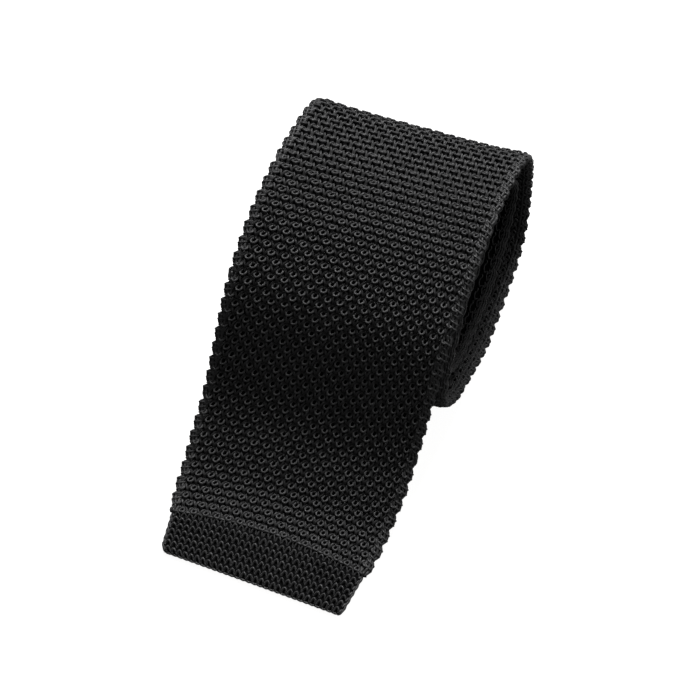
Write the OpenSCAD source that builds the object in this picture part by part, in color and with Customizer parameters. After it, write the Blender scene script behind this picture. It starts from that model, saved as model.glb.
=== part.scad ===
// Knitted necktie with a square end, rolled up with its front blade lying out.
// X runs across the tie, +Z is up, and the free end of the blade points to -Y.
// The origin is on the surface the tie rests on, under the middle of its box.

/* [Blade] */
// Width of the blade
blade_w = 65; // [60:1:70]
// Thickness of the blade's flattened tube
blade_t = 2.6; // [2.4:0.1:2.8]
// Thickness of one ply of the blade's knit
blade_ply = 1.1; // [0.9:0.05:1.1]
// Width of the plain knit band at the blade's square end
band_w = 58; // [54:1:60]

/* [Neck and tail] */
// Width of the neck band
neck_w = 28; // [26:1:32]
// Width of the tail
tail_w = 46; // [42:1:50]
// Thickness of the tube where it is pressed inside the roll
inner_t = 1.5; // [1.4:0.1:1.6]
// Thickness of one ply of that tube
inner_ply = 0.6; // [0.5:0.05:0.6]
// Width of the woven tape inside the neck
tape_w = 12; // [8:1:16]

/* [Back] */
// Width of the seam down the middle of the back
seam_w = 1.2; // [1:0.1:2]
// Width of the folded edge that closes each side of the tube
edge_w = 1.4; // [1.2:0.1:2]
// Outside width of the keeper loop
keeper_w = 50; // [46:1:54]
// Height of the keeper's slot for the tail
keeper_gap = 1.5; // [1.2:0.1:1.8]
// Thickness of the keeper's strap
keeper_t = 0.9; // [0.7:0.1:1]
// Width of the blank label
label_w = 34; // [28:1:40]

/* [Hidden] */

// The side profile of the outer face: a few points along the free end, then the
// outer turn's distance from its centre at every twelfth of a turn. The turns inside
// it are a spiral of shrinking ellipses.
samples = 4; // samples from one station of the profile to the next
free_end = [
    [-78.2, blade_t], [-69.5, blade_t], [-61, blade_t], [-52, 5],
    [-44, 9.4], [-36.5, 14.2], [-30, 20]
];
outer_centre = [14, 27];
outer_turn = [38, 29.2, 26.1, 27.6, 32.8, 41.3, 42.2, 42.4, 31.2, 27, 25.6, 30];
tucked_under = [-19, 25.5]; // where the second turn passes under the free end
core = [21, 27.5];
core_reach = [32, 24.2];    // half the length and height of the second turn
pitch = 1.95;               // how much smaller each turn is than the one around it
turns = 11;

// Samples where one piece of the tie ends and the next starts
band_end = 6;
lift_fold = 16;
peel_fold = 38;
second_start = 77;
third_start = 128;
taper_start = 164;
blade_end = 174;
neck_end = 316;
keeper_start = 54;
keeper_end = 57;
label_start = 70;
label_end = 73;

fold_gap = 0.3;   // room between two bodies at a fold
seam_stop = 0.3;  // how far a seam stops short of the ends of its tube's space
stitch_size = 0.4; // thickness of a sewing thread
stitch_pitch = 3; // distance between hem stitches
tape_margin = 3;  // samples that the neck tape stays short of each end

function outer_station(k) =
    outer_centre + outer_turn[k] * [-cos(30 * k), sin(30 * k)];
function inner_station(k) =
    let (reach = core_reach - [1, 1] * pitch * (k - 13) / 12)
    core + [-reach.x * cos(30 * k), reach.y * sin(30 * k)];
controls = concat(
    free_end, [for (k = [0:11]) outer_station(k)],
    [tucked_under], [for (k = [13:turns * 12]) inner_station(k)]
);
top_control = len(controls) - 1;

// A smooth curve through the controls, kept above the surface below it
function between(a, b, c, d, f) =
    (2 * b + (c - a) * f + (2 * a - 5 * b + 4 * c - d) * f * f
    + (3 * b - a - 3 * c + d) * f * f * f) / 2;
function curve(i, f) = between(
    controls[max(i - 1, 0)], controls[i],
    controls[min(i + 1, top_control)], controls[min(i + 2, top_control)], f
);
function lifted(p, floor_z) = [p.x, max(p.y, floor_z)];
raw_path = [
    for (i = [0:top_control - 1], j = [0:samples - 1])
        lifted(curve(i, j / samples), i < len(free_end) ? blade_t : 0)
];
last_sample = len(raw_path) - 1;
mid_y = (min([for (p = raw_path) p.x]) + max([for (p = raw_path) p.x])) / 2;
path = [for (p = raw_path) p - [mid_y, 0]];

function unit(v) = v / norm(v);
function along(i) = unit(path[min(i + 1, last_sample)] - path[max(i - 1, 0)]);
function inward(i) = [along(i).y, -along(i).x];
function under(i, depth, slide = 0) = path[i] + depth * inward(i) + slide * along(i);

blade_mid = [blade_ply, blade_t - blade_ply];
inner_mid = [inner_ply, inner_t - inner_ply];

// A layer of the tie from one sample to another, between two depths under its
// outer face; each end can slide along the tie.
module layer(first, last, width, depths, slides = [0, 0]) {
    function slide(i) = i == first ? slides[0] : i == last ? slides[1] : 0;
    upper = [for (i = [first:last]) under(i, depths[0], slide(i))];
    lower = [for (i = [last:-1:first]) under(i, depths[1], slide(i))];
    rotate([90, 0, 90])
        linear_extrude(height = width, center = true)
            polygon(concat(upper, lower));
}

// The space inside a tube, and the slit down its back where the seam goes
module tube_space(first, last, width, mid, t) {
    layer(first, last, width - 2 * edge_w, mid);
    layer(first, last, seam_w, [mid[1] - 0.01, t + 0.5], [seam_stop, -seam_stop]);
}

module tube(first, last, width, mid, t, slides = [0, 0]) {
    difference() {
        layer(first, last, width, [0, t], slides);
        tube_space(first + 1, last - 1, width, mid, t);
    }
}

module seam(first, last, mid, t) {
    layer(first, last, seam_w, [mid[1], t], [seam_stop, -seam_stop]);
}

// A small bar of thread lying on its own stretch of the tie
module thread_bar(i, x, across, length, depths) {
    translate([x, 0, 0])
        rotate([90, 0, 90])
            linear_extrude(height = across, center = true)
                polygon([
                    under(i, depths[0], -length / 2), under(i, depths[0], length / 2),
                    under(i, depths[1], length / 2), under(i, depths[1], -length / 2)
                ]);
}

module hem_threads(i, width, depths) {
    steps = floor((width / 2 - 4) / stitch_pitch);
    for (n = [-steps:steps])
        if (n != 0)
            thread_bar(i, n * stitch_pitch, stitch_size, 2, depths);
}

module blade_hem_band() {
    color("#1c1c1e")
        difference() {
            layer(0, band_end, band_w, [0, blade_t]);
            layer(1, band_end - 1, band_w - 2 * edge_w, blade_mid);
            hem_threads(band_end, band_w, [blade_t - stitch_size, blade_t + 1]);
        }
}

module blade_hem_stitches() {
    color("#2a2a2c")
        hem_threads(band_end, band_w, [blade_t - stitch_size, blade_t]);
}

module blade_bar_tack() {
    color("#2e2e30")
        thread_bar(band_end + 1, 0, 4, 1.2, [blade_t - stitch_size, blade_t]);
}

module blade_end_shell() {
    color("#19191b")
        difference() {
            layer(band_end, lift_fold, blade_w, [0, blade_t], [0, -fold_gap / 2]);
            tube_space(band_end + 2, lift_fold - 1, blade_w, blade_mid, blade_t);
            hem_threads(band_end, band_w, [blade_t - stitch_size, blade_t + 1]);
            thread_bar(band_end + 1, 0, 4, 1.2, [blade_t - stitch_size, blade_t + 1]);
        }
}

module blade_end_seam() {
    color("#29292b")
        seam(band_end + 2, lift_fold - 1, blade_mid, blade_t);
}

module blade_front_shell() {
    color("#19191b")
        tube(lift_fold, peel_fold, blade_w, blade_mid, blade_t,
            [fold_gap / 2, -fold_gap / 2]);
}

module blade_front_seam() {
    color("#29292b")
        seam(lift_fold + 1, peel_fold - 1, blade_mid, blade_t);
}

// The rest of the blade is pressed thinner and narrows by steps inside the roll
module blade_roll_shell() {
    color("#19191b")
        difference() {
            union() {
                layer(peel_fold, second_start, blade_w, [0, blade_t], [fold_gap / 2, 0]);
                layer(second_start, third_start, blade_w - 3, [0, inner_t]);
                layer(third_start, taper_start, blade_w - 7, [0, inner_t]);
                layer(taper_start, blade_end - 5, blade_w - 17, [0, inner_t]);
                layer(blade_end - 5, blade_end, neck_w + 6, [0, inner_t]);
            }
            tube_space(peel_fold + 1, second_start - 1, blade_w, blade_mid, blade_t);
            tube_space(second_start + 1, blade_end - 1, neck_w, inner_mid, inner_t);
        }
}

module blade_roll_seam() {
    color("#29292b") {
        seam(peel_fold + 1, second_start - 1, blade_mid, blade_t);
        seam(second_start + 1, blade_end - 1, inner_mid, inner_t);
    }
}

// A knitted strap across the back of the blade that takes the tail
module keeper_loop() {
    foot = 3;
    strap = [blade_t + keeper_gap, blade_t + keeper_gap + keeper_t];
    color("#222225") {
        layer(keeper_start, keeper_end, keeper_w, strap);
        for (side = [-1, 1])
            translate([side * (keeper_w - foot) / 2, 0, 0])
                layer(keeper_start, keeper_end, foot, [blade_t, strap[0]]);
    }
}

module keeper_stitches() {
    top = blade_t + keeper_gap + keeper_t;
    color("#38383b")
        for (side = [-1, 1])
            translate([side * (keeper_w / 2 - 1.5), 0, 0])
                layer(keeper_start, keeper_end, 1.6, [top, top + 0.3]);
}

module back_label() {
    color("#3a3a3d")
        layer(label_start, label_end, label_w, [blade_t, blade_t + 0.3]);
}

module label_stitches() {
    color("#4a4a4e")
        for (side = [-1, 1], i = [label_start, label_end - 1])
            translate([side * (label_w / 2 - 1.5), 0, 0])
                layer(i, i + 1, 0.4, [blade_t + 0.3, blade_t + 0.6]);
}

module blade_neck_join() {
    color("#303033")
        layer(blade_end, blade_end + 1, neck_w, [0, inner_t]);
}

module neck_shell() {
    color("#1d1d20")
        tube(blade_end + 1, neck_end, neck_w, inner_mid, inner_t);
}

module neck_seam() {
    color("#29292b")
        seam(blade_end + 2, neck_end - 1, inner_mid, inner_t);
}

// A flat woven tape between the plies, so that the neck doesn't stretch
module neck_stay_tape() {
    color("#45454a")
        layer(blade_end + tape_margin, neck_end - tape_margin, tape_w, inner_mid);
}

module neck_tail_join() {
    color("#303033")
        layer(neck_end, neck_end + 1, neck_w, [0, inner_t]);
}

module tail_shell() {
    color("#1b1b1d")
        tube(neck_end + 1, last_sample - 5, tail_w, inner_mid, inner_t);
}

module tail_seam() {
    color("#29292b")
        seam(neck_end + 2, last_sample - 6, inner_mid, inner_t);
}

module tail_hem_band() {
    color("#1f1f22")
        difference() {
            layer(last_sample - 5, last_sample, tail_w - 4, [0, inner_t]);
            hem_threads(last_sample - 3, tail_w - 4, [inner_t - 0.2, inner_t + 1]);
        }
}

module tail_hem_stitches() {
    color("#2a2a2c")
        hem_threads(last_sample - 3, tail_w - 4, [inner_t - 0.2, inner_t]);
}

blade_hem_band();
blade_hem_stitches();
blade_bar_tack();
blade_end_shell();
blade_end_seam();
blade_front_shell();
blade_front_seam();
blade_roll_shell();
blade_roll_seam();
keeper_loop();
keeper_stitches();
back_label();
label_stitches();
blade_neck_join();
neck_shell();
neck_seam();
neck_stay_tape();
neck_tail_join();
tail_shell();
tail_seam();
tail_hem_band();
tail_hem_stitches();
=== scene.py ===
import math

import bpy
import numpy as np
from mathutils import Matrix, Vector


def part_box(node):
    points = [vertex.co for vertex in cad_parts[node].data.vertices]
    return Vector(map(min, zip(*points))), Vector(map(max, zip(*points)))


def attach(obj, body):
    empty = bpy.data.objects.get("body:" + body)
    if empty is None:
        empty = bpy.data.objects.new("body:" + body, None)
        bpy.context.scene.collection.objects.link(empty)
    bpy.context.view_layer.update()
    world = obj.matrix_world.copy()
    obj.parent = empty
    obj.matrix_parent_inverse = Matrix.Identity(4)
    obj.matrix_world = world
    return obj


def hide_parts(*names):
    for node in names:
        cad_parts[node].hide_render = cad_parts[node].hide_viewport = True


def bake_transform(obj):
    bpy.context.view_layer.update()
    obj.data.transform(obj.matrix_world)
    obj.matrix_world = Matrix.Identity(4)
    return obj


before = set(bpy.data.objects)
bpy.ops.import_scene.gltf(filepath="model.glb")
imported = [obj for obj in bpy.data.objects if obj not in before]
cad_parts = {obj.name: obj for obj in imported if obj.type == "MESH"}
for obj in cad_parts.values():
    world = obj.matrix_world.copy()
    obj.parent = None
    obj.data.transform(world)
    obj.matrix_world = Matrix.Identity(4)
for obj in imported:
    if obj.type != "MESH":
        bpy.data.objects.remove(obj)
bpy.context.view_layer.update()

# A black knitted necktie, rolled up with the front of its blade lying out. X runs across
# the tie, -Y is towards the blade's square end and Z is up. Lengths here are in
# millimetres, as in the CAD, until a mesh is made. A place on the tie is given by its
# length s from the square end, its place x across, and its depth under the outer face.
MM = 0.001
rng = np.random.default_rng(7)

# ---------------------------------------------------------------- the side profile
BLADE_T = 2.6  # thickness of the blade's flattened tube
INNER_T = 1.5  # thickness of the tube pressed inside the roll
FREE_END = [
    (-78.2, BLADE_T), (-69.5, BLADE_T), (-61, BLADE_T), (-52, 5),
    (-44, 9.4), (-36.5, 14.2), (-30, 20),
]
OUTER_CENTRE = (14, 27)
OUTER_TURN = [38, 29.2, 26.1, 27.6, 32.8, 41.3, 42.2, 42.4, 31.2, 27, 25.6, 30]
TUCKED_UNDER = (-19, 25.5)
CORE = (21, 27.5)
CORE_REACH = (32, 24.2)
PITCH = 1.95
TURNS = 11
SAMPLES = 4  # samples of the CAD from one station to the next
FINE = 16  # points of the fine curve from one station to the next


def stations():
    out = list(FREE_END)
    for k in range(12):
        a = math.radians(30 * k)
        r = OUTER_TURN[k]
        out.append((OUTER_CENTRE[0] - r * math.cos(a), OUTER_CENTRE[1] + r * math.sin(a)))
    out.append(TUCKED_UNDER)
    for k in range(13, TURNS * 12 + 1):
        a = math.radians(30 * k)
        less = PITCH * (k - 13) / 12
        out.append((CORE[0] - (CORE_REACH[0] - less) * math.cos(a),
                    CORE[1] + (CORE_REACH[1] - less) * math.sin(a)))
    return np.array(out, float)


def smooth_curve(points, per):
    """A Catmull-Rom curve through the stations, kept above the surface below it."""
    last = len(points) - 1
    out = []
    for i in range(last):
        a, b = points[max(i - 1, 0)], points[i]
        c, d = points[i + 1], points[min(i + 2, last)]
        floor_z = BLADE_T if i < len(FREE_END) else 0
        for j in range(per):
            f = j / per
            p = (2 * b + (c - a) * f + (2 * a - 5 * b + 4 * c - d) * f * f
                 + (3 * b - a - 3 * c + d) * f ** 3) / 2
            out.append((p[0], max(p[1], floor_z)))
    return np.array(out)


def smoothed(values, reach):
    """Values averaged over their neighbours, each column by itself."""
    kernel = np.hanning(2 * reach + 3)[1:-1]
    kernel /= kernel.sum()
    padded = np.pad(values, ((reach, reach), (0, 0)), mode="edge")
    return np.stack([np.convolve(c, kernel, "valid") for c in padded.T], 1)


coarse = smooth_curve(stations(), SAMPLES)
MID_Y = (coarse[:, 0].min() + coarse[:, 0].max()) / 2
PATH = smooth_curve(stations(), FINE) - [MID_Y, 0]
LENGTHS = np.concatenate([[0], np.cumsum(np.linalg.norm(np.diff(PATH, axis=0), axis=1))])
TANGENT = smoothed(np.gradient(PATH, axis=0) / np.gradient(LENGTHS)[:, None], FINE // 2)
TANGENT /= np.linalg.norm(TANGENT, axis=1)[:, None]
TOTAL = LENGTHS[-1]


def length_at(sample):
    """The length along the tie at one of the CAD's samples."""
    return float(LENGTHS[min(sample * FINE // SAMPLES, len(LENGTHS) - 1)])


BAND_END = length_at(6)
PEEL = length_at(38)
# Where the pieces next to the two joints end
FRONT_FROM, PEEL_FROM, PEEL_END = 49, 86, 122
KEEPER = (length_at(54), length_at(57))
LABEL = (length_at(70), length_at(73))
SECOND = length_at(77)
UNCOVERED = SECOND + 70  # how far the second turn shows when the front is lifted off it
BLADE_END = length_at(174)
NECK_END = length_at(316)
TAIL_BAND = TOTAL - 11

# ---------------------------------------------------------------- widths and thickness


def cad_width(node):
    low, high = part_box(node)
    return (high.x - low.x) / MM


BLADE_W = cad_width("blade_front_shell")
BAND_W = cad_width("blade_hem_band")
NECK_W = cad_width("neck_shell")
TAIL_W = cad_width("tail_shell")
KEEPER_W = cad_width("keeper_loop")
LABEL_W = cad_width("back_label")
TAPE_W = cad_width("neck_stay_tape")


def ramp(s, points):
    return np.interp(s, [p[0] for p in points], [p[1] for p in points])


HALF_BLADE = BLADE_W / 2
HALF_WIDTH = [
    (BAND_END, HALF_BLADE - 2.4), (BAND_END + 8, HALF_BLADE - 1.1),
    (BAND_END + 24, HALF_BLADE - 0.1), (PEEL - 4, HALF_BLADE + 0.2),
    (PEEL + 30, HALF_BLADE - 0.4), (PEEL + 66, HALF_BLADE - 0.2),
    (PEEL + 96, HALF_BLADE + 0.9), (PEEL + 126, HALF_BLADE + 0.9),
    (SECOND - 25, HALF_BLADE - 0.3),
    (SECOND, HALF_BLADE - 1.8), (SECOND + 175, HALF_BLADE - 4),
    (SECOND + 300, HALF_BLADE - 9), (BLADE_END - 6, NECK_W / 2 + 3),
    (BLADE_END + 2, NECK_W / 2), (NECK_END, NECK_W / 2), (NECK_END + 12, TAIL_W / 2),
    (TOTAL, TAIL_W / 2),
]
THICKNESS = [(SECOND - 14, BLADE_T), (SECOND + 8, INNER_T)]
RELIEF = [(SECOND - 14, 1), (SECOND + 8, 0.5)]  # the knit is pressed flatter in the roll

# The free end leans to one side, the hem is a little out of square, the crease above the
# band bows towards the roll, and the roll's top swells and its folds curl up.
LEAN = [(0, -5.6), (18, -6), (36, -5.1), (80, -3.4), (120, -1.1), (150, 0.3), (180, 0)]
LEAN_GRID = np.arange(-20, 200.0)
LEAN_MM = smoothed(ramp(LEAN_GRID, LEAN)[:, None], 12)[:, 0]
CREASE_BOW = 2.5
BOW_KEPT = 45
BOW_FADE = 60
HEM_SLANT = 0.018
CURL = 1.0
SWELL = 0.9
TOP_AT = 152
TOP_SPAN = 25


def half_width(s):
    return ramp(s, HALF_WIDTH)


def thickness(s):
    return ramp(s, THICKNESS)


def relief(s):
    return ramp(s, RELIEF)


def eased(f):
    f = np.clip(f, 0, 1)
    return f * f * (3 - 2 * f)


def strip(s, x, depth):
    """Points in metres on the tie."""
    below = np.clip(s / BAND_END, 0, 1)
    bow = np.where(s < BAND_END, below, 1 - eased((s - BAND_END - BOW_KEPT) / BOW_FADE))
    s = (s + CREASE_BOW * bow * np.clip(1 - (x / (BAND_W / 2 - 2)) ** 2, -0.2, 1)
         - HEM_SLANT * x * (1 - below))
    at_top = np.exp(-((s - TOP_AT) / TOP_SPAN) ** 2)
    depth = depth - at_top * (SWELL + CURL * np.clip(np.abs(x) / HALF_BLADE, 0, 1.1) ** 4)
    y = np.interp(s, LENGTHS, PATH[:, 0])
    z = np.interp(s, LENGTHS, PATH[:, 1])
    ty = np.interp(s, LENGTHS, TANGENT[:, 0])
    tz = np.interp(s, LENGTHS, TANGENT[:, 1])
    n = np.sqrt(ty * ty + tz * tz)
    ty, tz = ty / n, tz / n
    beyond = np.minimum(s, 0) + np.maximum(s - TOTAL, 0)  # straight on past both ends
    y = y + beyond * ty + depth * tz
    z = z + beyond * tz - depth * ty
    return np.stack([x + np.interp(s, LEAN_GRID, LEAN_MM), y, z], -1) * MM


def strip_direction(s, across, down):
    ty = np.interp(s, LENGTHS, TANGENT[:, 0])
    tz = np.interp(s, LENGTHS, TANGENT[:, 1])
    v = np.stack([across, down * tz, -down * ty], -1)
    return v / (np.linalg.norm(v, axis=-1, keepdims=True) + 1e-9)


# ---------------------------------------------------------------- mesh making
def mesh_object(name, verts, faces, uv=None):
    """A smooth mesh from points in metres and a list of arrays of faces."""
    mesh = bpy.data.meshes.new(name)
    index = np.concatenate([g.ravel() for g in faces]).astype(np.int32)
    corners = np.concatenate([np.full(len(g), g.shape[1]) for g in faces])
    mesh.vertices.add(len(verts))
    mesh.vertices.foreach_set("co", np.asarray(verts, np.float32).ravel())
    mesh.loops.add(len(index))
    mesh.loops.foreach_set("vertex_index", index)
    mesh.polygons.add(len(corners))
    starts = np.concatenate([[0], np.cumsum(corners)[:-1]]).astype(np.int32)
    mesh.polygons.foreach_set("loop_start", starts)
    mesh.update(calc_edges=True)
    if uv is not None:
        layer = mesh.uv_layers.new(name="yarn")
        layer.data.foreach_set("uv", np.asarray(uv, np.float32).ravel())
    mesh.validate()
    mesh.polygons.foreach_set("use_smooth", np.full(len(mesh.polygons), True))
    ob = bpy.data.objects.new(name, mesh)
    bpy.context.scene.collection.objects.link(ob)
    return ob


def tubes(lines, normals, radius, sides=6, closed=False):
    """Tubes of yarn along lines, an array of (lines, points, 3) in metres, as points,
    faces and texture places that run in millimetres along the yarn."""
    count, points, _ = lines.shape
    lines = lines.copy()
    lines[..., 2] = np.maximum(lines[..., 2], np.max(radius) * MM)  # not into the floor
    if closed:
        tangent = np.roll(lines, -1, 1) - np.roll(lines, 1, 1)
    else:
        tangent = np.gradient(lines, axis=1)
    tangent /= np.linalg.norm(tangent, axis=-1, keepdims=True) + 1e-12
    side = np.cross(tangent, normals)
    side /= np.linalg.norm(side, axis=-1, keepdims=True) + 1e-12
    up = np.cross(side, tangent)
    turn = np.arange(sides) * 2 * np.pi / sides
    ring = np.cos(turn)[:, None] * up[:, :, None] + np.sin(turn)[:, None] * side[:, :, None]
    r = np.broadcast_to(np.asarray(radius, float) * MM, (count, points))
    verts = (lines[:, :, None] + ring * r[:, :, None, None]).reshape(-1, 3)
    i, k = np.meshgrid(np.arange(points if closed else points - 1), np.arange(sides),
                       indexing="ij")
    i1, k1 = (i + 1) % points, (k + 1) % sides
    one = np.stack([i * sides + k, i * sides + k1, i1 * sides + k1, i1 * sides + k], -1)
    first = (np.arange(count) * points * sides)[:, None, None]
    quads = (one.reshape(-1, 4)[None] + first).reshape(-1, 4)
    step = np.linalg.norm(np.diff(lines, axis=1), axis=-1) / MM
    along = np.concatenate([np.zeros((count, 1)), np.cumsum(step, 1)], 1)
    along = np.concatenate([along, along[:, -1:] + step[:, :1]], 1)
    u = np.stack([k, k + 1, k + 1, k], -1) / sides
    v = np.stack([along[:, i], along[:, i], along[:, i + 1], along[:, i + 1]], -1)
    uv = np.stack([np.broadcast_to(u, v.shape), v], -1).reshape(-1, 2)
    if closed:
        return verts, [quads], [uv]
    ends = np.stack([np.arange(sides)[::-1], (points - 1) * sides + np.arange(sides)])
    caps = (ends[None] + first).reshape(-1, sides)
    cap_uv = np.broadcast_to([0.5, 0.0], (caps.size, 2))
    return verts, [quads, caps], [uv, cap_uv]


def yarn_object(name, *parts):
    """One object from several results of tubes()."""
    verts, faces, uvs, start = [], [], [], 0
    for v, groups, uv in parts:
        verts.append(v)
        faces += [g + start for g in groups]
        uvs += uv
        start += len(v)
    return mesh_object(name, np.concatenate(verts), faces, np.concatenate(uvs))


# ---------------------------------------------------------------- the tube's section
def section(frac, half_w, thick, inset):
    """A place on the flattened tube's section, as (across, depth) and its outward
    direction. frac goes once round: 0 is the left fold and 0.5 the right one, with the
    front face between them."""
    r = np.maximum(thick / 2 - inset, 0.15)
    flat = half_w - inset - r
    around = 4 * flat + 2 * np.pi * r
    t = (np.asarray(frac) % 1.0) * around
    bend = np.pi * r / 2
    left = np.where(t < around / 2, t, t - around) / r
    right = (t - 2 * bend - 2 * flat) / r
    on_left = (t <= bend) | (t >= around - bend)
    on_front = (t > bend) & (t < bend + 2 * flat)
    on_right = (t >= bend + 2 * flat) & (t <= 3 * bend + 2 * flat)
    cases = [on_left, on_front, on_right]
    nx = np.select(cases, [-np.cos(left), 0 * t, np.cos(right)], 0 * t)
    nd = np.select(cases, [-np.sin(left), 0 * t - 1, np.sin(right)], 0 * t + 1)
    x = np.select(cases, [-flat - r * np.cos(left), t - bend - flat, flat + r * np.cos(right)],
                  flat - (t - 3 * bend - 2 * flat))
    return x, thick / 2 + r * nd, nx, nd


def around_fold(side, arc, half_w, thick, inset):
    """A place at a distance arc round a fold from its outermost line, to the front if
    arc is negative."""
    r = np.maximum(thick / 2 - inset, 0.15)
    bend = np.pi * r / 2
    a = np.clip(arc, -bend, bend) / r
    flat = np.abs(arc) - np.minimum(np.abs(arc), bend)
    x = half_w - inset - r + r * np.cos(a) - flat
    return side * x, thick / 2 + r * np.sin(a), side * np.cos(a), np.sin(a)


# ---------------------------------------------------------------- knit courses
# Half a stitch as (across, towards the square end, outwards): the yarn starts at the
# bottom of its round loop, narrows to a neck behind the loop below, opens into a V and
# ends over the neck of the next column.
HALF_LATTICE = np.array([
    (0.00, 1.98, 0.88), (0.48, 1.82, 0.86), (0.82, 1.34, 0.56), (0.72, 0.84, -0.06),
    (0.36, 0.46, -0.42), (0.18, 0.02, -0.44), (0.17, -0.46, 0.10), (0.30, -0.94, 0.42),
    (0.50, -1.42, 0.46), (0.74, -1.92, 0.26), (0.98, -2.20, -0.36), (1.38, -2.02, -0.46),
])
LATTICE_TOP = (1.895, -1.74, 0.02)
LATTICE_ROW = 2.28
LATTICE_PERIODS = 36
YARN = 0.32

HALF_PLAIN = np.array([
    (0.00, -0.66, 0.46), (0.32, -0.50, 0.42), (0.54, -0.14, 0.12), (0.62, 0.22, -0.28),
    (0.76, 0.50, -0.48),
])
PLAIN_TOP = (0.94, 0.60, -0.52)
PLAIN_PERIODS = 62
PLAIN_ROWS = 7
PLAIN_YARN = 0.28

FIRST_ROW = BAND_END + 1.95
SINK = 0.3  # how deep the yarn of the courses goes under the folds' own wales
BACK_RELIEF = 0.55  # the back's loops are pressed flatter
KNIT_DEPTH = 0.66  # from the tube's face in to where the loops' heights are measured from
CLEAR = 0.02  # added to each depth, however flat the knit is pressed
LATTICE_LOOSE = [0.05, 0.07, 0.045]  # how uneven the loops are, across, along and outwards
PLAIN_LOOSE = [0.05, 0.08, 0.04]

# The lumps along the left and the right fold, one for every two rows
LUMP_START = (0.12, 0.35)
LUMP_PEAK = (0.78, 0.5)
LUMP_SHARPNESS = (1.2, 0.8)
LUMP_SIZE = (0.56, 0.54)
LUMP_REACH = 3.2

CROWDING_AT_BAND = 0.004
CROWDING_MORE = 0.013
CREASE_DEPTH = 0.5


def whole_stitch(half, top):
    """One whole period of a course, from the middle of one loop to the next."""
    pitch = 2 * top[0]
    back = half[1:][::-1] * [-1, 1, 1] + [pitch, 0, 0]
    return np.concatenate([half, [top], back]), pitch


def bumps(side, s):
    """The folds' lumps, from -1 to 1: steep on the side away from the hem on the left
    fold, and even and rounder on the right one."""
    f = ((s - FIRST_ROW) / (2 * LATTICE_ROW) + np.where(side < 0, *LUMP_START)) % 1.0
    peak = np.where(side < 0, *LUMP_PEAK)
    rise = np.where(f < peak, f / peak, (1 - f) / (1 - peak))
    return 2 * np.sin(np.pi / 2 * rise) ** np.where(side < 0, *LUMP_SHARPNESS) - 1


def edge_push(s, x, half_w):
    """How far the lumps move a place outwards."""
    near = eased(1 - (half_w - np.abs(x)) / LUMP_REACH)
    size = np.where(x < 0, *LUMP_SIZE) * relief(s) * eased((s - BAND_END + 1) / 4)
    return np.sign(x) * near * size * bumps(np.sign(x), s)


def crowding(s):
    """The columns stand closer together towards the right fold."""
    return CROWDING_AT_BAND + CROWDING_MORE * eased((s - 15) / 50)


def crease(s):
    """The dent between the lattice knit and the band."""
    return CREASE_DEPTH * np.exp(-(s - BAND_END - 0.1) ** 2)


def lattice_rows(first_s, last_s):
    n = np.arange(-1, int((TOTAL - FIRST_ROW) / LATTICE_ROW))
    s = FIRST_ROW + n * LATTICE_ROW
    first = first_s if first_s > BAND_END else -TOTAL
    return n[(s >= first) & (s < last_s)]


def lattice(first_s, last_s, columns=None, yarn=YARN, sides=6):
    """Courses of the lattice knit. columns picks the periods that are made, or all of
    them round the tube."""
    rows = lattice_rows(first_s, last_s)
    stitch, pitch = whole_stitch(HALF_LATTICE, LATTICE_TOP)
    per = len(stitch)
    periods = np.arange(LATTICE_PERIODS) if columns is None else np.asarray(columns)
    shape = (len(rows), len(periods), per)
    loose = rng.normal(0, 1, (len(rows), LATTICE_PERIODS, 2, 3))
    this, after = periods % LATTICE_PERIODS, (periods + 1) % LATTICE_PERIODS
    share = np.arange(per) / per * 2
    wave = eased(share % 1.0)[:, None]
    early = (share < 1)[:, None]
    start = np.where(early, loose[:, this, 0][:, :, None], loose[:, this, 1][:, :, None])
    end = np.where(early, loose[:, this, 1][:, :, None], loose[:, after, 0][:, :, None])
    local = stitch + (start * (1 - wave) + end * wave) * LATTICE_LOOSE
    frac = (periods[None, :, None] + local[..., 0] / pitch
            + 0.5 * (rows % 2)[:, None, None]) / LATTICE_PERIODS
    s = FIRST_ROW + rows[:, None, None] * LATTICE_ROW - local[..., 1]
    s = np.maximum(s, BAND_END + 0.1)
    frac = frac + crowding(s) * np.sin(2 * np.pi * frac)
    press, half_w = relief(s), half_width(s)
    x, d, nx, nd = section(frac, half_w, thickness(s), KNIT_DEPTH * press + CLEAR)
    under = eased(1 - (half_w - np.abs(x) - 0.9) / 1.2)
    height = (local[..., 2] * (1 - under) - SINK * under) * press
    height = height * np.where(nd > 0.5, BACK_RELIEF, 1)
    x = x + nx * height + edge_push(s, x, half_w)
    d = d + nd * height - np.sign(nd) * crease(s)
    normals = strip_direction(s, nx + 1e-6, nd)
    flat = (shape[0], shape[1] * shape[2], 3)
    return tubes(strip(s, x, d).reshape(flat), normals.reshape(flat), yarn, sides,
                 columns is None)


WALES = (-2.2, -1.3, -0.45, 0.45, 1.3, 2.2)
PLAIN_WALES = (0.0, 0.85)
WALE_YARN = 0.36
WALE_DEPTH = 0.50
WALE_WAVE = 0.10
WRAP_STEP = LATTICE_ROW * 2 / 3
WRAP_YARN = 0.30
WRAP_DEPTH = 0.52
WRAP_FROM, WRAP_REACH = -2.7, 4.3  # round the fold, from the front face on
PLAIN_FIRST = BAND_END - 0.75
PLAIN_STEP = (PLAIN_FIRST - 1.15) / (PLAIN_ROWS - 1)


def blade_half(_, s):
    return half_width(s)


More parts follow.
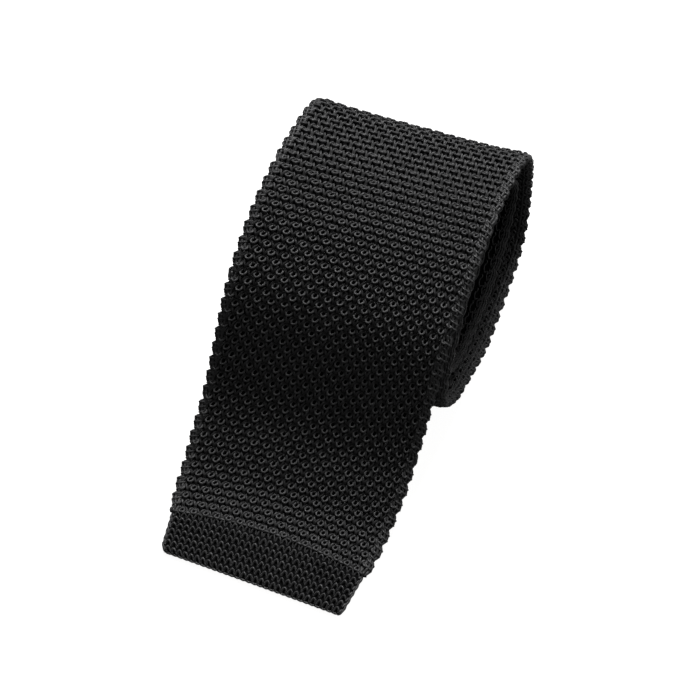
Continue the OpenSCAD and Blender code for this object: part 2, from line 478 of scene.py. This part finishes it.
def fold_wales(first_s, last_s, half_of, wales=WALES, edge=True, sides=6):
    """The yarns that run along each fold and close it."""
    s = np.linspace(first_s, last_s, max(int((last_s - first_s) / 0.42), 4))
    lines, normals = [], []
    for side in (-1, 1):
        for k, arc in enumerate(wales):
            press, half_w = relief(s), half_of(side, s)
            phase = 2 * np.pi * s / LATTICE_ROW + k * np.pi
            x, d, nx, nd = around_fold(side, arc * press ** 0.5, half_w, thickness(s),
                                       WALE_DEPTH * press + CLEAR)
            height = WALE_WAVE * np.cos(phase) * press
            push = edge_push(s, x, half_w) if edge else 0
            x, d = x + nx * height + push, d + nd * height
            if not edge:
                d = hem_round(s, d)
            lines.append(strip(s, x, d))
            normals.append(strip_direction(s, nx + 1e-6, nd))
    return tubes(np.array(lines), np.array(normals), WALE_YARN * relief(first_s) ** 0.4, sides)


def fold_wraps(first_s, last_s):
    """Slanting stitches that go over each fold from the front to the back."""
    t = np.linspace(0, 1, 12)
    lines, normals = [], []
    for side in (-1, 1):
        start = math.ceil((first_s + 1) / WRAP_STEP)
        for n in range(start, int((last_s - 0.5) / WRAP_STEP)):
            s = n * WRAP_STEP + 0.9 - 1.5 * np.sin(np.pi / 2 * t) + rng.normal(0, 0.07)
            half_w = half_width(s)
            x, d, nx, nd = around_fold(side, WRAP_FROM + WRAP_REACH * t, half_w,
                                       thickness(s), WRAP_DEPTH)
            height = 0.34 * np.sin(np.pi * t) ** 0.5 - 0.12
            x, d = x + nx * height + edge_push(s, x, half_w), d + nd * height
            lines.append(strip(s, x, d))
            normals.append(strip_direction(s, nx + 1e-6, nd))
    return tubes(np.array(lines), np.array(normals), WRAP_YARN, 6)


# ---------------------------------------------------------------- smooth ground sheets
def ground(name, first_s, last_s, half_of, inset, step=1.2, edge=True, closing=0.0):
    """A thin closed tube under the knit, which shows between the loops. closing rounds off
    its first end over that length."""
    s = np.linspace(first_s, last_s, max(int((last_s - first_s) / step), 2) + 1)[:, None]
    half = np.concatenate([[0, 0.004, 0.008, 0.012], np.linspace(0.02, 0.48, 24),
                           [0.488, 0.492, 0.496]])
    frac = np.concatenate([half, [0.5], 1 - half[1:][::-1]])[None]
    ring, top, m = frac.shape[1], len(half), len(s)
    half_w = half_of(frac, s)
    x, d, _, _ = section(frac, half_w, thickness(s), inset * relief(s))
    if edge:
        x = x + edge_push(s, x, half_w)
    if closing:
        keep = np.sqrt(1 - (1 - np.clip((s - first_s) / closing, 0.06, 1)) ** 2)
        d = thickness(s) / 2 + (d - thickness(s) / 2) * keep
    verts = strip(s + 0 * x, x, d).reshape(-1, 3)
    verts[:, 2] = np.maximum(verts[:, 2], 0.05 * MM)
    i, k = np.meshgrid(np.arange(m - 1), np.arange(ring), indexing="ij")
    k1 = (k + 1) % ring
    sides = np.stack([i * ring + k, (i + 1) * ring + k, (i + 1) * ring + k1, i * ring + k1], -1)
    quads, tris = [sides.reshape(-1, 4)], []
    for row, turn in ((0, 1), (m - 1, -1)):
        j = np.arange(1, top)
        cap = row * ring + np.stack([j, j + 1, ring - j - 1, ring - j], -1)
        ends = row * ring + np.array([[0, 1, ring - 1], [top - 1, top, top + 1]])
        quads.append(cap[:-1, ::turn])
        tris.append(ends[:, ::turn])
    return mesh_object(name, verts, [np.concatenate(quads), np.concatenate(tris)])


# ---------------------------------------------------------------- the plain hem band
BAND_LEFT = [(0, -2.6), (0.9, -1.0), (2.6, -0.2), (BAND_END, 0.8)]
BAND_RIGHT = [(0, -1.7), (1.0, -0.8), (2.4, -0.5), (BAND_END, 1.4)]


def band_half(side, s):
    """The band's two edges close in by different amounts."""
    left = BAND_W / 2 - 0.3 + ramp(s, BAND_LEFT)
    right = BAND_W / 2 - 1.0 + ramp(s, BAND_RIGHT)
    return np.where(side < 0, left, right)


def band_ground_half(frac, s):
    return band_half(np.where(np.abs(frac - 0.5) < 0.25, 1, -1), s)


def hem_round(s, d):
    """Rounds the tube off at its square end."""
    keep = np.sqrt(1 - (1 - np.clip(s / (BLADE_T / 2), 0, 1)) ** 2)
    return BLADE_T / 2 + (d - BLADE_T / 2) * np.maximum(keep, 0.12)


def band():
    stitch, pitch = whole_stitch(HALF_PLAIN, PLAIN_TOP)
    per = len(stitch)
    rows = PLAIN_FIRST - np.arange(PLAIN_ROWS) * PLAIN_STEP
    shape = (len(rows), PLAIN_PERIODS, per)
    loose = rng.normal(0, 1, (len(rows), PLAIN_PERIODS, 1, 3))
    fade = (0.5 + 0.5 * np.cos(2 * np.pi * np.arange(per) / per))[:, None]
    local = stitch + loose * fade * PLAIN_LOOSE
    frac = (np.arange(PLAIN_PERIODS)[None, :, None] + local[..., 0] / pitch) / PLAIN_PERIODS
    s = np.maximum(rows[:, None, None] - local[..., 1], 0.15)
    half_w = band_ground_half(frac, np.clip(s, 0, BAND_END))
    x, d, nx, nd = section(frac, half_w, BLADE_T, 0.62)
    under = eased(1 - (half_w - np.abs(x) - 0.7) / 0.8)
    height = local[..., 2] * (1 - under) - 0.2 * under
    x = x + nx * height
    d = hem_round(s, d + nd * height - np.sign(nd) * crease(s))
    normals = strip_direction(s, nx + 1e-6, nd)
    flat = (shape[0], shape[1] * shape[2], 3)
    return tubes(strip(s, x, d).reshape(flat), normals.reshape(flat), PLAIN_YARN, 6, True)


def hem_edge():
    """The cast-on edge, a row of slanting stitches round the square end."""
    x = np.linspace(-1, 1, 300)
    left, right = band_half(-1, 0.4), band_half(1, 0.4)
    across = np.where(x < 0, x * (left - 0.6), x * (right - 0.6))
    lines = []
    for k, depth in enumerate((1.4, 1.95)):
        wave = 0.10 * np.cos(x * 95 + k * 2.1)
        lines.append(strip(0.34 + wave + 0.2 * k, across, depth + 0 * x))
    normals = np.broadcast_to([0, -1.0, 0.2], (len(lines), len(x), 3))
    return tubes(np.array(lines), normals, 0.34, 6)


# ---------------------------------------------------------------- sewing
def sewn_line(s, x, depth, reach, slant, out=0.16, thread=0.17):
    """One thread that crosses to and fro along a line of places: over the cloth on one
    stroke, and low on the way back. reach is half its width."""
    n = len(s)
    fold = np.where(np.arange(n) % 2, 1.0, -1.0)
    ds, dx = np.gradient(s), np.gradient(x)
    size = np.hypot(ds, dx) + 1e-9
    s2 = s + fold * (reach * -dx / size + slant * ds / size)
    x2 = x + fold * (reach * ds / size + slant * dx / size)
    between = 4
    t = np.arange((n - 1) * between + 1) / between
    at = np.arange(n)
    rise = out * np.abs(np.sin(np.pi * t)) + 0.02
    s3, x3 = np.interp(t, at, s2), np.interp(t, at, x2)
    d3 = np.interp(t, at, depth + 0 * s) + rise
    line = strip(s3, x3, d3)
    normal = strip_direction(s3, 0 * s3 + 1e-6, 1 + 0 * s3)
    return tubes(line[None], normal[None], thread, 5)


def seam_object(name, first_s, last_s):
    s = np.arange(first_s, last_s, 1.1)
    return yarn_object(name, sewn_line(s, 0 * s, thickness(s) - 0.12 * relief(s), 0.55, 0.25))


def crossing_stitches(at, half, depths, pitch=3.0, length=1.0, thread=0.18):
    """Short stitches along the tie, side by side across it, on faces at some depths."""
    steps = int((half - 4) / pitch)
    t = np.linspace(-1, 1, 9)
    lines, normals = [], []
    for depth in depths:
        out = 1.0 if depth > 0.5 else -1.0
        for n in range(-steps, steps + 1):
            s = at + length * t
            x = n * pitch + 0.35 * t
            lines.append(strip(s, x, depth + out * (0.34 * (1 - t ** 4) - 0.1)))
            normals.append(strip_direction(s, 0 * s + 1e-6, out + 0 * s))
    return tubes(np.array(lines), np.array(normals), thread, 5)


def flat_sheet(name, first_s, last_s, half, depth, thick, sag=0.0, step=0.8):
    """A thin closed sheet at one depth, with rounded long edges and slightly uneven."""
    s = np.linspace(first_s, last_s, max(int((last_s - first_s) / step), 4) + 1)[:, None]
    u = np.sin(np.linspace(-np.pi / 2, np.pi / 2, 33))[None]
    edge = np.sqrt(np.maximum(1 - u ** 8, 0.0)) * thick / 2 + 0.02
    ripple = sag * np.sin(u * 7 + s * 0.9) * (1 - u * u)
    x = half * u + 0 * s
    upper = strip(s + 0 * x, x, depth + thick / 2 + ripple - edge)
    lower = strip(s + 0 * x, x, depth + thick / 2 + ripple + edge)
    rows = np.concatenate([upper, lower[:, ::-1]], 1)
    m, ring = rows.shape[:2]
    i, k = np.meshgrid(np.arange(m - 1), np.arange(ring), indexing="ij")
    k1 = (k + 1) % ring
    sides = np.stack([i * ring + k, (i + 1) * ring + k, (i + 1) * ring + k1, i * ring + k1], -1)
    j = np.arange(ring // 2 - 1)
    caps = [(row * ring + np.stack([j, j + 1, ring - j - 2, ring - j - 1], -1))[:, ::turn]
            for row, turn in ((0, 1), (m - 1, -1))]
    return mesh_object(name, rows.reshape(-1, 3), [sides.reshape(-1, 4)] + caps)


def keeper():
    """A knitted strap that stands off the blade's back, with its feet sewn down."""
    s0, s1 = KEEPER
    courses = np.linspace(s0 + 0.5, s1 - 0.5, 6)
    half = KEEPER_W / 2 - 0.5
    lines, normals = [], []
    waves = int(2 * half / 1.5)
    t = np.linspace(-1, 1, waves * 8 + 1)
    x = half * t
    lift = 2.1 * (1 - np.abs(t) ** 10)
    arch = np.cos(np.pi * 2 * waves * t / 2)
    for n, at in enumerate(courses):
        for out in (0.3, -0.3):
            s = at + 0.42 * arch * (1 if n % 2 else -1)
            depth = BLADE_T + 0.35 + lift + out + np.sign(out) * 0.12 * arch
            lines.append(strip(s, x, depth))
            normals.append(strip_direction(s, 0 * s + 1e-6, np.sign(out) + 0 * s))
    return tubes(np.array(lines), np.array(normals), 0.30, 5)


# ---------------------------------------------------------------- materials
def new_material(name, roughness, specular, sheen=0.0):
    material = bpy.data.materials.new(name)
    material.use_nodes = True
    tree = material.node_tree
    shader = tree.nodes["Principled BSDF"]
    shader.inputs["Roughness"].default_value = roughness
    shader.inputs["Specular IOR Level"].default_value = specular
    if sheen:
        shader.inputs["Sheen Weight"].default_value = sheen
        shader.inputs["Sheen Roughness"].default_value = 0.4
    return material, tree, shader


def noise(tree, scale, detail):
    place = tree.nodes.new("ShaderNodeTexCoord")
    node = tree.nodes.new("ShaderNodeTexNoise")
    node.inputs["Scale"].default_value = scale
    node.inputs["Detail"].default_value = detail
    tree.links.new(place.outputs["Object"], node.inputs["Vector"])
    return node.outputs["Fac"]


def maths(tree, operation, *values):
    node = tree.nodes.new("ShaderNodeMath")
    node.operation = operation
    for socket, value in zip(node.inputs, values):
        if isinstance(value, (int, float)):
            socket.default_value = value
        else:
            tree.links.new(value, socket)
    return node.outputs[0]


def colour_from(tree, shader, factor, dark, light):
    mix = tree.nodes.new("ShaderNodeMix")
    mix.data_type = "RGBA"
    mix.inputs["A"].default_value = (*dark, 1)
    mix.inputs["B"].default_value = (*light, 1)
    tree.links.new(factor, mix.inputs["Factor"])
    tree.links.new(mix.outputs["Result"], shader.inputs["Base Color"])


def bump_from(tree, shader, height, strength, distance):
    node = tree.nodes.new("ShaderNodeBump")
    node.inputs["Strength"].default_value = strength
    node.inputs["Distance"].default_value = distance
    tree.links.new(height, node.inputs["Height"])
    tree.links.new(node.outputs["Normal"], shader.inputs["Normal"])


def yarn_material(name, dark, light, rough=0.42, ply=1.3, specular=0.16, sheen=0.06):
    """Twisted yarn: two plies, slightly uneven in colour and gloss."""
    material, tree, shader = new_material(name, rough, specular, sheen)
    uv = tree.nodes.new("ShaderNodeUVMap")
    uv.uv_map = "yarn"
    split = tree.nodes.new("ShaderNodeSeparateXYZ")
    tree.links.new(uv.outputs["UV"], split.inputs[0])
    turns = maths(tree, "MULTIPLY_ADD", split.outputs["Y"], 1.0 / ply,
                  maths(tree, "MULTIPLY", split.outputs["X"], 2.0))
    twist = maths(tree, "SINE", maths(tree, "MULTIPLY", turns, 2 * math.pi))
    height = maths(tree, "MULTIPLY_ADD", noise(tree, 2600, 3), 0.35, twist)
    bump_from(tree, shader, height, 0.5, 0.00006)
    patch = noise(tree, 190, 4)
    colour_from(tree, shader, patch, dark, light)
    gloss = maths(tree, "MULTIPLY_ADD", patch, 0.2, rough - 0.08)
    tree.links.new(gloss, shader.inputs["Roughness"])
    return material


def weave_material(name, dark, light, scale, rough, specular):
    """A flat woven cloth, or, where scale is 0, the ground that shows between the loops, bumped
    only with fuzz; the ground's near-black colours are painted shade in the holes.
    """
    material, tree, shader = new_material(name, rough, specular)
    fuzz = noise(tree, 900, 5)
    height = fuzz
    if scale:
        place = tree.nodes.new("ShaderNodeTexCoord")
        split = tree.nodes.new("ShaderNodeSeparateXYZ")
        tree.links.new(place.outputs["Object"], split.inputs[0])
        reach = maths(tree, "MULTIPLY", split.outputs["X"], scale)
        climb = maths(tree, "MULTIPLY",
                      maths(tree, "ADD", split.outputs["Y"], split.outputs["Z"]), scale)
        cross = maths(tree, "MULTIPLY", maths(tree, "SINE", reach), maths(tree, "SINE", climb))
        height = maths(tree, "MULTIPLY_ADD", fuzz, 0.4, cross)
    bump_from(tree, shader, height, 0.6, 0.0001)
    colour_from(tree, shader, fuzz, dark, light)
    return material


SILK = yarn_material("silk_yarn", (0.015, 0.015, 0.0155), (0.031, 0.031, 0.0315))
THREAD = yarn_material("sewing_thread", (0.02, 0.02, 0.021), (0.035, 0.035, 0.036), 0.5, 0.6)
# The ground is near-black, far darker than the yarn: painted shade in the holes between the
# loops.
SHADED_GROUND = weave_material("knit_ground_painted_shade", (0.0015, 0.0015, 0.0016), (0.004, 0.004, 0.0042), 0,
                        0.95, 0.0)
TAPE = weave_material("stay_tape", (0.02, 0.02, 0.021), (0.04, 0.04, 0.042), 9000, 0.8, 0.2)
SATIN = weave_material("label_satin", (0.035, 0.035, 0.038), (0.06, 0.06, 0.064), 14000,
                       0.45, 0.4)


def place(ob, material, slot_name, how, *nodes):
    """Gives a piece its finish and hangs it from its body; a piece that crosses a joint is left
    unparented with its place baked in. Hides the CAD nodes it stands for.
    """
    ob.data.materials.append(material)
    if how == "lift":
        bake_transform(ob)
    elif how == "peel":
        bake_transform(ob)
    else:
        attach(ob, how)
    if nodes:
        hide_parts(*nodes)
    return ob


# The blade's outer turn, and the part of the next turn that the front uncovers, knitted
# all round in full, in several pieces. Each piece stays under 200,000 triangles.
GROUND_DEPTH = 1.0
SPLITS = np.linspace(PEEL_END, UNCOVERED, 8).tolist()
ON_ROLL = [("roll_" + letter, a, b, "roll", [])
           for letter, a, b in zip("abcdefg", SPLITS, SPLITS[1:])]
for name, a, b, how, nodes in (
        ("tip", BAND_END, FRONT_FROM, "lift", ["blade_end_shell"]),
        ("front", FRONT_FROM, PEEL_FROM, "front", ["blade_front_shell"]),
        ("peel", PEEL_FROM, PEEL_END, "peel", ["blade_roll_shell"]), *ON_ROLL):
    knit = yarn_object("knit_" + name, lattice(a, b), fold_wales(a, b, blade_half),
                       fold_wraps(a, b))
    place(knit, SILK, "lattice_knit", how)
    base = ground("ground_" + name, a, b, blade_half, GROUND_DEPTH, step=0.6)
    place(base, SHADED_GROUND, "lattice_knit", how, *nodes)

band_knit = yarn_object("band_knit", band(), hem_edge(),
                        fold_wales(0.35, BAND_END, band_half, PLAIN_WALES, edge=False))
place(band_knit, SILK, "plain_knit", "end")
band_ground = ground("band_ground", 0.5, BAND_END + 0.4, band_ground_half, 0.95, step=0.6,
                     edge=False, closing=1.0)
place(band_ground, SHADED_GROUND, "plain_knit", "end", "blade_hem_band")

# The rest of the turns inside the roll, of which only the folds are knitted in full.
INNER_YARN = 0.22
FOLD_COLUMNS = [np.arange(c - 1, c + 1) for c in (0, LATTICE_PERIODS // 2)]
NECK_MIDDLE = (BLADE_END + NECK_END) / 2
TAIL_MIDDLE = (NECK_END + TAIL_BAND) / 2
for name, a, b, slot_name, nodes in (
        ("inner", UNCOVERED, BLADE_END, "lattice_knit", []),
        ("neck_a", BLADE_END, NECK_MIDDLE, "plain_knit", ["neck_shell"]),
        ("neck_b", NECK_MIDDLE, NECK_END, "plain_knit", []),
        ("tail_a", NECK_END, TAIL_MIDDLE, "lattice_knit", ["tail_shell"]),
        ("tail_b", TAIL_MIDDLE, TAIL_BAND, "lattice_knit", [])):
    parts = [lattice(a, b, c, INNER_YARN, 5) for c in FOLD_COLUMNS]
    knit = yarn_object("edges_" + name, *parts,
                       fold_wales(a, b, blade_half, sides=5))
    place(knit, SILK, slot_name, "roll")
    base = ground("ground_" + name, a, b, blade_half, GROUND_DEPTH)
    place(base, SHADED_GROUND, slot_name, "roll", *nodes)

# The sewing, the keeper, the label, the tape and the tail's own band.
for name, a, b, how in (
        ("blade_end_seam", BAND_END + 1.5, FRONT_FROM, "lift"),
        ("blade_front_seam", FRONT_FROM, PEEL_FROM, "front"),
        ("peel_seam", PEEL_FROM, PEEL_END, "peel"),
        ("blade_roll_seam", PEEL_END, BLADE_END - 1, "roll"),
        ("neck_seam", BLADE_END + 1, NECK_END - 1, "roll"),
        ("tail_seam", NECK_END + 1, TAIL_BAND, "roll")):
    nodes = [name] if name != "peel_seam" else []
    place(seam_object(name + "_thread", a, b), THREAD, "thread", how, *nodes)

place(yarn_object("hem_stitching", crossing_stitches(BAND_END, BAND_W / 2, [BLADE_T])),
      THREAD, "thread", "end", "blade_hem_stitches")
tack = np.linspace(-2, 2, 15)
place(yarn_object("bar_tack", sewn_line(0 * tack + BAND_END + 2, tack, BLADE_T, 0.6, 0)),
      THREAD, "thread", "end", "blade_bar_tack")
for node, at in (("blade_neck_join", BLADE_END), ("neck_tail_join", NECK_END)):
    place(yarn_object(node + "_stitching",
                      crossing_stitches(at + 0.6, NECK_W / 2 + 3, [0.0, INNER_T], 1.2, 0.7)),
          THREAD, "thread", "roll", node)

strap = place(yarn_object("keeper_strap", keeper()), SILK, "plain_knit", "roll",
              "keeper_loop")
rows = [sewn_line(np.linspace(*KEEPER, 12), np.full(12, side * (KEEPER_W / 2 - 1.2)),
                  BLADE_T + 1.0, 0.5, 0.2) for side in (-1, 1)]
place(yarn_object("keeper_stitching", *rows), THREAD, "thread", "roll", "keeper_stitches")

label = flat_sheet("label_cloth", *LABEL, LABEL_W / 2, BLADE_T + 0.05, 0.3, sag=0.05)
place(label, SATIN, "label", "roll", "back_label")
rows = [sewn_line(np.linspace(*LABEL, 11), np.full(11, side * (LABEL_W / 2 - 0.8)),
                  BLADE_T + 0.35, 0.35, 0.15, thread=0.11) for side in (-1, 1)]
place(yarn_object("label_stitching", *rows), THREAD, "thread", "roll", "label_stitches")

tape_span = (BLADE_END + 8, NECK_END - 8)
tape = flat_sheet("neck_tape", *tape_span, TAPE_W / 2, INNER_T / 2 - 0.12, 0.24, step=1.2)
place(tape, TAPE, "tape", "roll", "neck_stay_tape")

tail_band = yarn_object("tail_band_knit",
                        lattice(TAIL_BAND, TOTAL - 1, yarn=0.2, sides=5),
                        fold_wales(TAIL_BAND, TOTAL - 1, lambda side, s: half_width(s) - 2))
place(tail_band, SILK, "plain_knit", "roll")
tail_ground = ground("tail_band_ground", TAIL_BAND, TOTAL - 0.8, lambda f, s: half_width(s) - 2,
                     0.9)
place(tail_ground, SHADED_GROUND, "plain_knit", "roll", "tail_hem_band")
place(yarn_object("tail_hem_stitching",
                  crossing_stitches(TAIL_BAND + 2, TAIL_W / 2 - 2, [INNER_T])),
      THREAD, "thread", "roll", "tail_hem_stitches")

# ---------------------------------------------------------------- floor, light, camera
floor_mesh = bpy.data.meshes.new("floor")
FLOOR_HALF = 40  # metres; its far edge shows only in low views
corners = [(x * FLOOR_HALF, y * FLOOR_HALF, 0) for x, y in ((-1, -1), (1, -1), (1, 1), (-1, 1))]
floor_mesh.from_pydata(corners, [], [(0, 1, 2, 3)])
floor = bpy.data.objects.new("floor", floor_mesh)
bpy.context.scene.collection.objects.link(floor)
# A light table's white top, which glows enough to leave hardly any shadow. It is hidden
# from diffuse and glossy rays, so it doesn't light the tie.
white, _, shader = new_material("floor_acrylic", 0.9, 0.1)
shader.inputs["Base Color"].default_value = (0.25, 0.25, 0.248, 1)
shader.inputs["Emission Color"].default_value = (1, 0.998, 0.995, 1)
shader.inputs["Emission Strength"].default_value = 0.93
floor_mesh.materials.append(white)
floor.visible_diffuse = False
floor.visible_glossy = False

scene = bpy.context.scene
world = bpy.data.worlds.new("room")
world.use_nodes = True
background = world.node_tree.nodes["Background"]
background.inputs["Color"].default_value = (1, 1, 1, 1)
background.inputs["Strength"].default_value = 0.15
scene.world = world


def softbox(name, direction, distance, size, power):
    lamp = bpy.data.lights.new(name, "AREA")
    lamp.shape = "RECTANGLE"
    lamp.size, lamp.size_y = size
    lamp.energy = power
    ob = bpy.data.objects.new(name, lamp)
    away = Vector(direction).normalized()
    ob.location = away * distance
    ob.rotation_mode = "QUATERNION"
    ob.rotation_quaternion = (-away).to_track_quat("-Z", "Y")
    scene.collection.objects.link(ob)


softbox("key", (-0.06, 0.65, 0.75), 1.4, (0.5, 0.42), 44.5)
softbox("side", (0.70, 0.05, 0.70), 1.2, (0.8, 0.8), 4)

CAMERA_AIM = Vector((-5.4, 11.0, 0)) * MM
CAMERA_TURN = math.radians(26.3)
CAMERA_HEIGHT = math.radians(62.2)
CAMERA_ROLL = math.radians(-6.7)
CAMERA_FAR = 0.471
lens = bpy.data.cameras.new("camera")
lens.sensor_width = 36
lens.lens = 81
lens.clip_start = 0.01
camera = bpy.data.objects.new("camera", lens)
scene.collection.objects.link(camera)
scene.camera = camera
back = Vector((math.sin(CAMERA_TURN) * math.cos(CAMERA_HEIGHT),
               -math.cos(CAMERA_TURN) * math.cos(CAMERA_HEIGHT), math.sin(CAMERA_HEIGHT)))
level = Vector((math.cos(CAMERA_TURN), math.sin(CAMERA_TURN), 0))
upright = back.cross(level)
right = level * math.cos(CAMERA_ROLL) + upright * math.sin(CAMERA_ROLL)
up = upright * math.cos(CAMERA_ROLL) - level * math.sin(CAMERA_ROLL)
camera.matrix_world = (Matrix.Translation(CAMERA_AIM + back * CAMERA_FAR)
                       @ Matrix((right, up, back)).transposed().to_4x4())

scene.view_settings.view_transform = "Standard"
